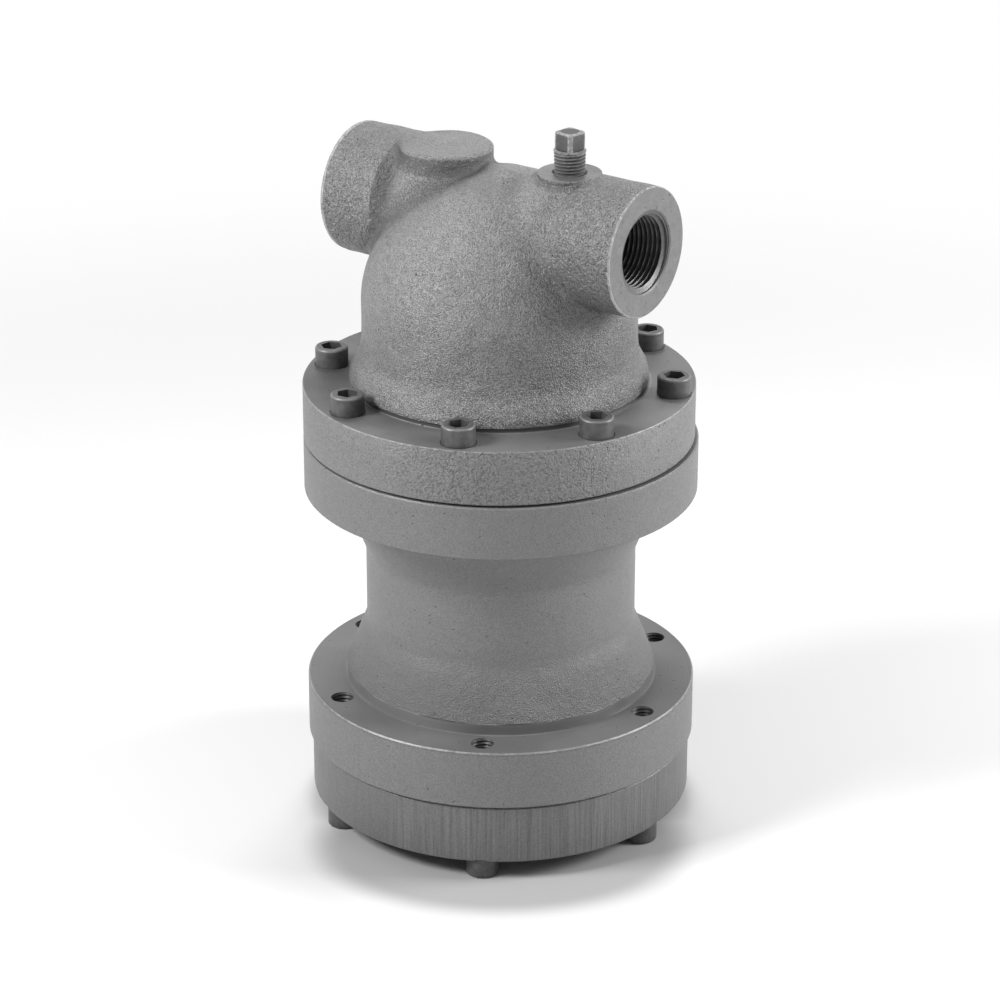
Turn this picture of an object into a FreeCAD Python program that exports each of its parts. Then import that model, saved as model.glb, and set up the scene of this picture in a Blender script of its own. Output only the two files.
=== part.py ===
import FreeCAD, Part

import math
import os

# Pressure parts, stacked from the floor upward
cover_thickness = 25.4
lower_flange_thickness = 25.4
upper_flange_thickness = 22.7
body_length = 135.0
cap_flange_thickness = 23.3
gasket_thickness = 0.8

# Round outlines
wall_radius = 57.4           # outside of the body barrel and of the dome
wall_thickness = 7.4
body_hub_flare = 8.7         # foot of the barrel's tapered hubs, outside the wall
body_hub_radius = wall_radius + body_hub_flare
flange_width = 17.0          # body flanges, outside the hubs
body_flange_radius = body_hub_radius + flange_width
cap_set_in = 0.8             # edge of the cap inside the body's
cap_flange_radius = body_flange_radius - cap_set_in
cover_set_in = 1.6
cover_radius = body_flange_radius - cover_set_in
body_hub_height = 27.0
body_hub_band = 5.0          # turned band at the foot of each hub
hub_blend = 14.0             # hollow between a hub's taper and the wall
band_rounding = 1.5
cap_hub_flare = 5.3          # foot of the dome's skirt, outside the wall
cap_hub_radius = wall_radius + cap_hub_flare
cap_hub_step = 2.3           # turned step between the dome's skirt and the flange face
cap_skirt_height = 17.0      # skirt where the dome flares out to its hub
skirt_blend = 10.0
skirt_rounding = 3.0
dome_straight = 33.6         # dome's straight wall above the flange face
edge_bevel = 0.6             # small bevel on turned edges
cap_shift = 0.75             # the cap sits this far off the body's axis, within its screw holes
cap_shift_angle = 216.0      # degrees, direction of that shift

# Pipe ports, 1 in taper pipe thread, bored to the thread's outer diameter
port_height = 70.0           # above the cap's flange face
port_reach = 72.5            # from the axis to the port faces
port_bore_radius = 16.6
port_thread_length = 22.0
port_mouth_radius = 18.0
port_mouth_depth = 1.6
outlet_boss_radius = 27.0
inlet_boss_radius = 27.7
inlet_boss_lift = 0.6        # cast this far above the port it is bored for
boss_inner_end = 3.0         # from the axis to the inner end of each boss, which is rounded like a ball
boss_root_fillet = 7.0
inlet_boss_rounding = 1.5
passage_radius = 14.0
inlet_passage_end = 6.0      # from the axis to the end of the cored inlet passage

# Pads on top of the cap
blank_pad_drop = 0.8         # faced this far below the inlet boss's crest
blank_pad_radius = 19.5
blank_pad_place = 27.0       # towards the inlet
vent_pad_drop = 0.2          # faced this far below the outlet boss's crest
vent_pad_radius = 13.1
vent_pad_place = 34.9        # towards the outlet
pad_root_fillet = 2.5
pad_facing = 4.0             # the pads are cast this much higher, then faced off

# Vent plug, 1/4 in taper pipe thread with a square head
plug_thread_radius = 6.7     # at the large end
plug_taper = 1 / 32          # radius lost per unit of length
plug_thread_length = 15.0
plug_thread_shown = 9.8      # thread left above the pad
plug_square = 9.5
plug_head_radius = 6.05      # corners of the square are turned to this
plug_head_height = 7.2
plug_bevel = 0.8
plug_turn = 81.0             # degrees, as the plug came to rest when it was screwed in
vent_mouth_radius = 7.2
vent_mouth_depth = 0.6

# Socket head cap screws, 3/8 in, and the holes that take them
screw_radius = 4.76
screw_length = 44.4
head_radius = 7.0
head_height = 9.5
head_rounding = 1.1
socket_width = 7.94
socket_depth = 4.8
cap_screw_count = 8
cap_screw_inset = 9.6        # screws inside the body flange's edge
cap_screw_circle = body_flange_radius - cap_screw_inset
cover_screw_count = 6
cover_screw_inset = 9.4
cover_screw_circle = body_flange_radius - cover_screw_inset
cap_hole_radius = 5.6
cover_hole_radius = 5.2
spot_face_radius = 8.1
spot_face_depth = 1.4
cover_spot_face_depth = 1.0

# Drain, 1/2 in taper pipe thread, in the middle of the bottom cover
drain_radius = 10.6
drain_dish_radius = 25.0     # shallow cone that leads to the drain
drain_dish_depth = 2.5

# Outlet tube, screwed into the cap, which takes the dry gas up to the outlet port
tube_radius = 17.5
tube_wall = 3.0
tube_socket_height = 20.0    # mouth of the cap's tube socket above the flange face
tube_socket_depth = 14.0
tube_end_gap = 1.0           # above the tube's end
socket_wall = 5.5
elbow_radius = 24.0          # bend from the tube up to the port's axis
elbow_wall = 6.0
collar_radius = 23.5
collar_height = 5.0
tube_below_nut = 22.0
nut_height = 9.0
nut_radius = 23.5
nut_slot_count = 4
nut_slot_width = 6.0
nut_slot_depth = 3.0

# Vane ring, cast in one piece with helical blades, clamped on the outlet tube
ring_drop = 6.0              # from the top of the body down to the ring
ring_height = 34.0
ring_wall = 3.4
ring_gap = 1.2               # between the ring and the body's bore
ring_hub_radius = 22.5
vane_count = 8
vane_thickness = 2.6
vane_turn = 52.0             # degrees that each blade winds round the hub
vane_sections = 5
vane_root = 1.0              # depth that a blade runs into the hub and the ring

# Baffle plate over the liquid space, on three posts
baffle_gap = 9.8             # below the outlet tube's end
baffle_radius = 43.0
baffle_thickness = 3.0
baffle_rise = 6.0            # height of the plate's raised middle
baffle_top_radius = 12.0
baffle_foot_radius = 24.0
baffle_vent_radius = 4.0
post_count = 3
post_circle = 33.0
post_radius = 5.0
post_stud_radius = 3.2
post_stud_length = 9.0
post_hole_extra = 1.0        # depth of the post's holes beyond what is screwed in
baffle_screw_radius = 2.5
baffle_screw_length = 10.0
baffle_head_radius = 4.6
baffle_head_height = 3.2
baffle_slot_width = 1.2
baffle_slot_depth = 1.4

# Clearances
running_gap = 0.15           # radial gap of pieces that slide together
thread_gap = 0.03            # radial gap between plain-drawn threads
gasket_recess = 0.5          # gasket edge inside the flange edge
gasket_hole_gap = 0.5        # round each screw

# Levels, worked out from the stack
cover_bottom = head_height - cover_spot_face_depth
cover_top = cover_bottom + cover_thickness
body_bottom = cover_top + gasket_thickness
body_top = body_bottom + body_length
cap_bottom = body_top + gasket_thickness
cap_face = cap_bottom + cap_flange_thickness
port_axis = cap_face + port_height
blank_pad_top = port_axis + inlet_boss_lift + inlet_boss_radius - blank_pad_drop
vent_pad_top = port_axis + outlet_boss_radius - vent_pad_drop
bore_radius = wall_radius - wall_thickness
ring_top = body_top - ring_drop
ring_bottom = ring_top - ring_height
nut_bottom = ring_bottom - nut_height
tube_bottom = nut_bottom - tube_below_nut
socket_mouth = cap_face + tube_socket_height
baffle_bottom = tube_bottom - baffle_gap - baffle_thickness - baffle_rise

up = FreeCAD.Vector(0, 0, 1)
centre = FreeCAD.Vector(0, 0, 0)


def vector(x, y, z):
    return FreeCAD.Vector(x, y, z)


def rounded_outline(corners):
    """Closed wire in the XZ plane; each corner is (radius from the axis, height, rounding)."""
    points = [vector(r, 0, z) for r, z, rounding in corners]
    bends = []
    for index, (r, z, rounding) in enumerate(corners):
        here = points[index]
        back = (points[index - 1] - here).normalize()
        ahead = (points[(index + 1) % len(points)] - here).normalize()
        half_angle = back.getAngle(ahead) / 2
        reach = rounding / math.tan(half_angle)
        if rounding > 0:
            middle = here + (back + ahead).normalize() * (rounding / math.sin(half_angle) - rounding)
            bends.append((here + back * reach, middle, here + ahead * reach))
        else:
            bends.append((here, None, here))
    edges = []
    for index, (start, middle, end) in enumerate(bends):
        if middle:
            edges.append(Part.Arc(start, middle, end).toShape())
        next_start = bends[(index + 1) % len(bends)][0]
        if end.distanceToPoint(next_start) > 1e-6:
            edges.append(Part.LineSegment(end, next_start).toShape())
    return Part.Wire(edges)


def turned(corners):
    """Solid of revolution about Z, with its seam turned away from the ports."""
    solid = Part.Face(rounded_outline(corners)).revolve(centre, up, 360)
    solid.rotate(centre, up, 90)
    return solid


def disc(radius, bottom, height, x=0):
    return Part.makeCylinder(radius, height, vector(x, 0, bottom))


def around(shape, count, first_angle=0):
    """Copies of a shape in a ring about Z."""
    copies = []
    for index in range(count):
        copy = shape.copy()
        copy.rotate(centre, up, first_angle + index * 360 / count)
        copies.append(copy)
    return copies


def at_cap_screws(shape):
    return around(shape, cap_screw_count, 180 / cap_screw_count)


def at_cover_screws(shape):
    return around(shape, cover_screw_count)


def placed_with_cap(shape):
    """The cap and what hangs from it, moved off the body's axis together."""
    angle = math.radians(cap_shift_angle)
    moved = shape.copy()
    moved.translate(vector(cap_shift * math.cos(angle), cap_shift * math.sin(angle), 0))
    return moved


def lies_on(point, surface):
    return surface.distToShape(Part.Vertex(point))[0] < 1e-3


def seam_edges(fused, first, second):
    """Edges of a fused shape that lie on the surfaces of both of its parts."""
    found = []
    for edge in fused.Edges:
        start, end = edge.ParameterRange
        probes = [edge.valueAt(start + (end - start) * share) for share in (0.2, 0.5, 0.8)]
        if all(lies_on(probe, shape.Shells[0]) for probe in probes for shape in (first, second)):
            found.append(edge)
    return found


def blend(first, second, radius):
    """Two shapes fused, with a fillet along the seam between them."""
    fused = first.fuse(second).removeSplitter()
    return fused.makeFillet(radius, seam_edges(fused, first, second))


def dome_outside():
    dome_top = cap_face + dome_straight + wall_radius
    middle = cap_bottom + cap_flange_thickness / 2
    return turned([
        (0, middle, 0),
        (cap_hub_radius, middle, 0),
        (cap_hub_radius, cap_face + cap_hub_step, 0),
        (cap_hub_radius - edge_bevel, cap_face + 2 * cap_hub_step, skirt_rounding),
        (wall_radius, cap_face + cap_skirt_height, skirt_blend),
        (wall_radius, dome_top, wall_radius),
        (0, dome_top, 0),
    ])


def port_boss(radius, rounding, direction, lift):
    """Round boss along X, with a ball-shaped inner end that merges with the dome."""
    boss = turned([
        (0, -boss_inner_end, 0),
        (radius, -boss_inner_end, radius),
        (radius, port_reach, rounding),
        (0, port_reach, 0),
    ])
    boss.rotate(centre, vector(0, 1, 0), 90 * direction)
    boss.translate(vector(0, 0, port_axis + lift))
    return boss


def add_pad(shape, radius, top, place):
    """Round pad blended onto the cap and then faced off flat."""
    cast = disc(radius, port_axis, top + pad_facing - port_axis, place)
    facing = disc(radius + pad_root_fillet, top, 2 * pad_facing, place)
    return blend(shape, cast, pad_root_fillet).cut(facing)


def cap_flange():
    return turned([
        (0, cap_bottom, 0),
        (cap_flange_radius - edge_bevel, cap_bottom, 0),
        (cap_flange_radius, cap_bottom + edge_bevel, 0),
        (cap_flange_radius, cap_face - edge_bevel, 0),
        (cap_flange_radius - edge_bevel, cap_face, 0),
        (0, cap_face, 0),
    ])


def cap_outside():
    shape = blend(dome_outside(), port_boss(outlet_boss_radius, 0, 1, 0), boss_root_fillet)
    inlet_boss = port_boss(inlet_boss_radius, inlet_boss_rounding, -1, inlet_boss_lift)
    shape = blend(shape, inlet_boss, boss_root_fillet)
    shape = add_pad(shape, blank_pad_radius, blank_pad_top, -blank_pad_place)
    shape = add_pad(shape, vent_pad_radius, vent_pad_top, vent_pad_place)
    return shape.fuse(cap_flange())


def cap_hollow():
    """Chamber inside the dome, open at the bottom, with the inlet passage that leads into it."""
    chamber_top = cap_face + dome_straight + bore_radius
    chamber = turned([
        (0, cap_bottom, 0),
        (bore_radius, cap_bottom, 0),
        (bore_radius, chamber_top, bore_radius),
        (0, chamber_top, 0),
    ])
    length = port_reach - inlet_passage_end
    start = vector(-port_reach, 0, port_axis)
    return chamber.fuse(Part.makeCylinder(passage_radius, length, start, vector(1, 0, 0)))


def elbow(radius):
    """Bent round bar along the outlet passage, from the tube socket to the outlet's face."""
    bend_start = vector(0, 0, port_axis - elbow_radius)
    bend_end = vector(elbow_radius, 0, port_axis)
    bend_centre = vector(elbow_radius, 0, port_axis - elbow_radius)
    bend_middle = bend_centre + vector(-1, 0, 1).normalize() * elbow_radius
    mouth = vector(0, 0, socket_mouth)
    path = Part.Wire([
        Part.LineSegment(mouth, bend_start).toShape(),
        Part.Arc(bend_start, bend_middle, bend_end).toShape(),
        Part.LineSegment(bend_end, vector(port_reach - port_mouth_depth, 0, port_axis)).toShape(),
    ])
    section = Part.Wire(Part.makeCircle(radius, mouth, up))
    return path.makePipeShell([section], True, False)


def port_bore(direction):
    """Threaded bore with a bevelled mouth, as one turned tool."""
    bore = turned([
        (0, port_reach - port_thread_length, 0),
        (port_bore_radius, port_reach - port_thread_length, 0),
        (port_bore_radius, port_reach - port_mouth_depth, 0),
        (port_mouth_radius, port_reach, 0),
        (0, port_reach, 0),
    ])
    bore.rotate(centre, vector(0, 1, 0), 90 * direction)
    bore.translate(vector(0, 0, port_axis))
    return bore


def plug_radius_at(height):
    """Radius of the plug's tapered thread at a height above the pad."""
    return plug_thread_radius - (plug_thread_shown - height) * plug_taper


def vent_bore():
    depth = vent_pad_top - port_axis
    bottom_radius = plug_radius_at(-depth) + thread_gap
    bore = turned([
        (0, port_axis, 0),
        (bottom_radius, port_axis, 0),
        (plug_radius_at(-vent_mouth_depth) + thread_gap, vent_pad_top - vent_mouth_depth, 0),
        (vent_mouth_radius, vent_pad_top, 0),
        (0, vent_pad_top, 0),
    ])
    bore.translate(vector(vent_pad_place, 0, 0))
    return bore


def tube_socket_bore():
    top = socket_mouth + tube_socket_depth + tube_end_gap
    return disc(tube_radius + thread_gap, socket_mouth, top - socket_mouth)


def cap():
    socket = disc(tube_radius + socket_wall, socket_mouth, tube_socket_depth + 2 * tube_end_gap)
    shape = cap_outside().cut(cap_hollow())
    shape = shape.fuse([elbow(passage_radius + elbow_wall), socket])
    shape = shape.cut([elbow(passage_radius), tube_socket_bore(), port_bore(1), port_bore(-1), vent_bore()])
    shape = placed_with_cap(shape.removeSplitter())
    clearance = disc(cap_hole_radius, cap_bottom, cap_flange_thickness, cap_screw_circle)
    spot_face = disc(spot_face_radius, cap_face - spot_face_depth, 2 * spot_face_depth, cap_screw_circle)
    holes = at_cap_screws(clearance.fuse(spot_face))
    return shape.cut([placed_with_cap(hole) for hole in holes])


def body():
    lower_face = body_bottom + lower_flange_thickness
    upper_face = body_top - upper_flange_thickness
    shape = turned([
        (bore_radius, body_bottom, 0),
        (body_flange_radius - edge_bevel, body_bottom, 0),
        (body_flange_radius, body_bottom + edge_bevel, 0),
        (body_flange_radius, lower_face - edge_bevel, 0),
        (body_flange_radius - edge_bevel, lower_face, 0),
        (body_hub_radius, lower_face, 0),
        (body_hub_radius, lower_face + body_hub_band, band_rounding),
        (wall_radius, lower_face + body_hub_height, hub_blend),
        (wall_radius, upper_face - body_hub_height, hub_blend),
        (body_hub_radius, upper_face - body_hub_band, band_rounding),
        (body_hub_radius, upper_face, 0),
        (body_flange_radius - edge_bevel, upper_face, 0),
        (body_flange_radius, upper_face + edge_bevel, 0),
        (body_flange_radius, body_top - edge_bevel, 0),
        (body_flange_radius - edge_bevel, body_top, 0),
        (bore_radius, body_top, 0),
    ])
    tapped = screw_radius + thread_gap
    upper_hole = disc(tapped, upper_face, upper_flange_thickness, cap_screw_circle)
    lower_hole = disc(tapped, body_bottom, lower_flange_thickness, cover_screw_circle)
    return shape.cut(at_cap_screws(upper_hole) + at_cover_screws(lower_hole))


def gasket(bottom, radius, screw_hole_circle, spread):
    hole_radius = screw_radius + gasket_hole_gap
    ring = disc(radius, bottom, gasket_thickness).cut(disc(bore_radius, bottom, gasket_thickness))
    return ring.cut(spread(disc(hole_radius, bottom, gasket_thickness, screw_hole_circle)))


def cap_gasket():
    radius = cap_flange_radius - cap_shift - gasket_recess
    return gasket(body_top, radius, cap_screw_circle, at_cap_screws)


def cover_gasket():
    return gasket(cover_top, cover_radius - gasket_recess, cover_screw_circle, at_cover_screws)


def bottom_cover():
    shape = turned([
        (drain_radius, cover_bottom, 0),
        (cover_radius - edge_bevel, cover_bottom, 0),
        (cover_radius, cover_bottom + edge_bevel, 0),
        (cover_radius, cover_top - edge_bevel, 0),
        (cover_radius - edge_bevel, cover_top, 0),
        (drain_dish_radius, cover_top, 0),
        (drain_radius, cover_top - drain_dish_depth, 0),
    ])
    screw_hole = disc(cover_hole_radius, cover_bottom, cover_thickness, cover_screw_circle)
    screw_hole = screw_hole.fuse(
        disc(spot_face_radius, cover_bottom, cover_spot_face_depth, cover_screw_circle))
    stud_depth = post_stud_length + post_hole_extra
    stud_hole = disc(post_stud_radius + thread_gap, cover_top - stud_depth, stud_depth, post_circle)
    return shape.cut(at_cover_screws(screw_hole) + around(stud_hole, post_count))


def hexagon_prism(width, bottom, height):
    """Hexagonal bar, width across its flats."""
    corner = width / math.sqrt(3)
    points = [vector(corner * math.cos(a), corner * math.sin(a), bottom)
              for a in [math.radians(60 * step) for step in range(7)]]
    return Part.Face(Part.makePolygon(points)).extrude(vector(0, 0, height))


def socket_screw():
    """Cap screw standing on its head's underside at height 0, shank downward."""
    blank = turned([
        (0, -screw_length, 0),
        (screw_radius - head_rounding, -screw_length, 0),
        (screw_radius, -screw_length + head_rounding, 0),
        (screw_radius, 0, 0),
        (head_radius, 0, 0),
        (head_radius, head_height, head_rounding),
        (0, head_height, 0),
    ])
    return blank.cut(hexagon_prism(socket_width, head_height - socket_depth, socket_depth))


def cap_screws():
    screw = socket_screw()
    screw.translate(vector(cap_screw_circle, 0, cap_face - spot_face_depth))
    return Part.Compound(at_cap_screws(screw))


def cover_screws():
    screw = socket_screw()
    screw.rotate(centre, vector(1, 0, 0), 180)
    screw.translate(vector(cover_screw_circle, 0, head_height))
    return Part.Compound(at_cover_screws(screw))


def vent_plug():
    thread_bottom = vent_pad_top + plug_thread_shown - plug_thread_length
    thread_top = vent_pad_top + plug_thread_shown
    head_top = thread_top + plug_head_height
    outline = turned([
        (0, thread_bottom, 0),
        (plug_radius_at(plug_thread_shown - plug_thread_length), thread_bottom, 0),
        (plug_thread_radius, thread_top - plug_bevel, 0),
        (plug_head_radius, thread_top, 0),
        (plug_head_radius, head_top - plug_bevel / 2, 0),
        (plug_head_radius - plug_bevel, head_top, 0),
        (0, head_top, 0),
    ])
    half = plug_square / 2
    square = Part.makeBox(plug_square, plug_square, plug_head_height, vector(-half, -half, thread_top))
    below = disc(plug_thread_radius, thread_bottom, plug_thread_length)
    plug = outline.common(square.fuse(below)).removeSplitter()
    plug.rotate(centre, up, plug_turn)
    plug.translate(vector(vent_pad_place, 0, 0))
    return placed_with_cap(plug)


def outlet_tube():
    """Tube with a collar that the vane ring is clamped against."""
    tube = turned([
        (tube_radius - tube_wall, tube_bottom, 0),
        (tube_radius, tube_bottom, 0),
        (tube_radius, ring_top, 0),
        (collar_radius, ring_top, 0),
        (collar_radius, ring_top + collar_height, 0),
        (tube_radius, ring_top + collar_height, 0),
        (tube_radius, socket_mouth + tube_socket_depth, 0),
        (tube_radius - tube_wall, socket_mouth + tube_socket_depth, 0),
    ])
    return placed_with_cap(tube)


def tube_nut():
    """Round lock nut with slots for a hook spanner."""
    ring = disc(nut_radius, nut_bottom, nut_height).cut(
        disc(tube_radius + thread_gap, nut_bottom, nut_height))
    slot = Part.makeBox(
        nut_slot_depth * 2, nut_slot_width, nut_height,
        vector(nut_radius - nut_slot_depth, -nut_slot_width / 2, nut_bottom))
    return placed_with_cap(ring.cut(around(slot, nut_slot_count)))


def vane_section(share, inner, outer):
    """Cross-section of a blade, level with a share of the ring's height from the top."""
    level = ring_top - share * ring_height
    turn = math.radians(vane_turn) * share * share
    middle_radius = (inner + outer) / 2
    slope = 2 * share * math.radians(vane_turn) * middle_radius / ring_height
    half_width = vane_thickness / 2 * math.sqrt(1 + slope * slope)
    along = vector(math.cos(turn), math.sin(turn), 0)
    across = vector(-math.sin(turn), math.cos(turn), 0)
    corners = [
        along * inner - across * half_width,
        along * outer - across * half_width,
        along * outer + across * half_width,
        along * inner + across * half_width,
    ]
    lifted = [corner + vector(0, 0, level) for corner in corners]
    return Part.makePolygon(lifted + [lifted[0]])


def vane(inner, outer):
    """Blade that starts upright at the top and leans over as it winds down."""
    shares = [step / (vane_sections - 1) for step in range(vane_sections)]
    return Part.makeLoft([vane_section(share, inner, outer) for share in shares], True)


def vane_ring():
    outer = bore_radius - ring_gap
    inner = outer - ring_wall
    bore = tube_radius + running_gap
    shroud = disc(outer, ring_bottom, ring_height).cut(disc(inner, ring_bottom, ring_height))
    hub = disc(ring_hub_radius, ring_bottom, ring_height).cut(disc(bore, ring_bottom, ring_height))
    blades = around(vane(ring_hub_radius - vane_root, inner + vane_root), vane_count)
    return placed_with_cap(shroud.fuse([hub] + blades).removeSplitter())


def baffle_plate():
    """Pressed plate with a raised middle and a vent hole."""
    low = baffle_bottom
    high = baffle_bottom + baffle_rise
    plate = turned([
        (baffle_vent_radius, high, 0),
        (baffle_top_radius, high, 0),
        (baffle_foot_radius, low, 0),
        (baffle_radius, low, 0),
        (baffle_radius, low + baffle_thickness, 0),
        (baffle_foot_radius, low + baffle_thickness, 0),
        (baffle_top_radius, high + baffle_thickness, 0),
        (baffle_vent_radius, high + baffle_thickness, 0),
    ])
    hole = disc(baffle_screw_radius + running_gap, low, baffle_thickness, post_circle)
    return plate.cut(around(hole, post_count))


def baffle_posts():
    """Round posts, screwed into the cover below and tapped for the plate's screws above."""
    tapped_depth = baffle_screw_length - baffle_thickness + post_hole_extra
    post = disc(post_radius, cover_top, baffle_bottom - cover_top, post_circle)
    stud = disc(post_stud_radius, cover_top - post_stud_length, post_stud_length, post_circle)
    tapped = disc(baffle_screw_radius + thread_gap, baffle_bottom - tapped_depth, tapped_depth, post_circle)
    return around(post.fuse(stud).cut(tapped), post_count)


def baffle_screws():
    seat = baffle_bottom + baffle_thickness
    head = disc(baffle_head_radius, seat, baffle_head_height, post_circle)
    shank = disc(baffle_screw_radius, seat - baffle_screw_length, baffle_screw_length, post_circle)
    slot = Part.makeBox(
        2 * baffle_head_radius, baffle_slot_width, baffle_slot_depth,
        vector(post_circle - baffle_head_radius, -baffle_slot_width / 2,
               seat + baffle_head_height - baffle_slot_depth))
    return Part.Compound(around(head.fuse(shank).cut(slot), post_count))


def build():
    """All the pieces by name."""
    pieces = {
        "cap": cap(),
        "cap_gasket": cap_gasket(),
        "body": body(),
        "cover_gasket": cover_gasket(),
        "bottom_cover": bottom_cover(),
        "cap_screws": cap_screws(),
        "cover_screws": cover_screws(),
        "vent_plug": vent_plug(),
        "outlet_tube": outlet_tube(),
        "vane_ring": vane_ring(),
        "tube_nut": tube_nut(),
        "baffle_plate": baffle_plate(),
        "baffle_screws": baffle_screws(),
    }
    for number, post in enumerate(baffle_posts(), start=1):
        pieces[f"baffle_post_{number}"] = post
    return pieces


if __name__ == "__main__":
    os.makedirs("parts", exist_ok=True)
    for name, shape in build().items():
        shape.exportStep(f"parts/{name}.step")
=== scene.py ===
import math

import bmesh
import bpy
import numpy as np
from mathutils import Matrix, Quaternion, Vector


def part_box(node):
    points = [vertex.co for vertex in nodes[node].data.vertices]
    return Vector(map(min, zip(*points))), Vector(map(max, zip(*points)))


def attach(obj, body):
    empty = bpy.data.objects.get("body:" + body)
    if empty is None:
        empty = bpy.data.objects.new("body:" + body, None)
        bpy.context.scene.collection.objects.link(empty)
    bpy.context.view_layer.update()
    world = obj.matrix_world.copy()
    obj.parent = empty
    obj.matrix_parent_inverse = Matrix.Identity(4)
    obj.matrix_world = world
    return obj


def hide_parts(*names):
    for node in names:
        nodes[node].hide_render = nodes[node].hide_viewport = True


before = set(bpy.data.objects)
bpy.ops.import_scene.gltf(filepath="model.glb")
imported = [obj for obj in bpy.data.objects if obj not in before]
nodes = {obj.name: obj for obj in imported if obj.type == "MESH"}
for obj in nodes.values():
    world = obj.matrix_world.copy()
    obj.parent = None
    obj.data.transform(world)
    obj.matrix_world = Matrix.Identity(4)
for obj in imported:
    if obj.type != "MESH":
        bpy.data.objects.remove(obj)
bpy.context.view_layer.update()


# Bottom cover: a round plate sawn from iron bar and skimmed, so its edge keeps faint upright marks.
# It closes the body from below and is held by six screws from underneath.
cover_grain, cover_strokes = 1500.0, 1100.0
cover_greys, cover_bump = (0.09, 0.23), 0.00008


def place(tree, kind, inputs=None, **settings):
    """Adds a shader node; an input is a plain value or another node's output."""
    made = tree.nodes.new(kind)
    for key, value in settings.items():
        setattr(made, key, value)
    for key, value in (inputs or {}).items():
        if isinstance(value, bpy.types.NodeSocket):
            tree.links.new(value, made.inputs[key])
        else:
            made.inputs[key].default_value = value
    return made


def calculate(tree, operation, first, second=0.0, third=0.0):
    """One sum on one, two or three values."""
    values = {0: first, 1: second, 2: third}
    return place(tree, "ShaderNodeMath", values, operation=operation).outputs[0]


def times(tree, first, *others):
    """Product of two or more values."""
    for other in others:
        first = calculate(tree, "MULTIPLY", first, other)
    return first


def scale_add(tree, value, factor, rest):
    """Value times a factor, plus the rest."""
    return calculate(tree, "MULTIPLY_ADD", value, factor, rest)


def ramp(tree, value, low, high, low_out=0.0, high_out=1.0):
    """Value carried smoothly from one range to another, and held at both ends."""
    inputs = {0: value, 1: low, 2: high, 3: low_out, 4: high_out}
    return place(tree, "ShaderNodeMapRange", inputs, interpolation_type="SMOOTHSTEP").outputs[0]


def shade(tree, share, dark, light):
    """Colour between two colours, by a share from 0 to 1; a plain number stands for a grey."""
    ends = [end if isinstance(end, bpy.types.NodeSocket) else (end, end, end, 1) for end in (dark, light)]
    return place(tree, "ShaderNodeMix", {0: share, 6: ends[0], 7: ends[1]}, data_type="RGBA").outputs[2]


def noise(tree, vector, scale, detail=2.0, roughness=0.5):
    """Soft noise from 0 to 1; scale is how many lumps there are in a metre."""
    inputs = {"Vector": vector, "Scale": scale, "Detail": detail, "Roughness": roughness}
    return place(tree, "ShaderNodeTexNoise", inputs).outputs[0]


def stretch(tree, vector, factors):
    """Vector with each of its parts multiplied, to draw a pattern out in one direction."""
    return place(tree, "ShaderNodeVectorMath", {0: vector, 1: factors}, operation="MULTIPLY").outputs[0]


def start_effect(name, inputs, outputs):
    """New shader node group with a vector input, the named number inputs and the named outputs."""
    group = bpy.data.node_groups.new(name, "ShaderNodeTree")
    group.interface.new_socket("Vector", in_out="INPUT", socket_type="NodeSocketVector")
    for socket in inputs:
        group.interface.new_socket(socket, in_out="INPUT", socket_type="NodeSocketFloat")
    for socket in outputs:
        group.interface.new_socket(socket, in_out="OUTPUT", socket_type="NodeSocketFloat")
    return group, group.nodes.new("NodeGroupInput").outputs, group.nodes.new("NodeGroupOutput").inputs


def use_effect(tree, group, vector, **inputs):
    """Places a group in a material, with this material's own values."""
    made = place(tree, "ShaderNodeGroup", node_tree=group)
    tree.links.new(vector, made.inputs["Vector"])
    for key, value in inputs.items():
        made.inputs[key].default_value = value
    return made.outputs


def start_finish(name, roughness, metallic=0.0, specular=0.5):
    """New material: its node tree, its surface shader and its Object coordinates."""
    material = bpy.data.materials.new(name)
    material.use_nodes = True
    tree = material.node_tree
    surface = tree.nodes["Principled BSDF"]
    surface.inputs["Roughness"].default_value = roughness
    surface.inputs["Metallic"].default_value = metallic
    surface.inputs["Specular IOR Level"].default_value = specular
    return material, tree, surface, tree.nodes.new("ShaderNodeTexCoord").outputs["Object"]


def dress(tree, surface, colour, height=None, depth=0.0):
    """Feeds a colour and a height into the surface; depth is that of a height of 1, in metres."""
    tree.links.new(colour, surface.inputs["Base Color"])
    if height is not None:
        bump = place(tree, "ShaderNodeBump", {"Height": height, "Distance": depth})
        tree.links.new(bump.outputs[0], surface.inputs["Normal"])


def finish_node(name, material):
    """A CAD node keeps its mesh and takes a material."""
    nodes[name].data.materials.clear()
    nodes[name].data.materials.append(material)


# Casting skin: fine sand grain with lumps under it, as left by a sand mould.
cast_skin, given, result = start_effect("cast_skin", ["Grain"], ["Height", "Tone"])
fine = noise(cast_skin, given["Vector"], given["Grain"], 1.0, 0.5)
lumps = noise(cast_skin, given["Vector"], times(cast_skin, given["Grain"], 0.22), 2.0)
swells = noise(cast_skin, given["Vector"], times(cast_skin, given["Grain"], 0.035), 1.0)
height = scale_add(cast_skin, lumps, 0.9, calculate(cast_skin, "SUBTRACT", fine, 2.2))
cast_skin.links.new(scale_add(cast_skin, swells, 2.5, height), result["Height"])
tone = scale_add(cast_skin, fine, 1.2, times(cast_skin, lumps, 0.25))
cast_skin.links.new(ramp(cast_skin, tone, 0.42, 1.0), result["Tone"])

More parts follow.
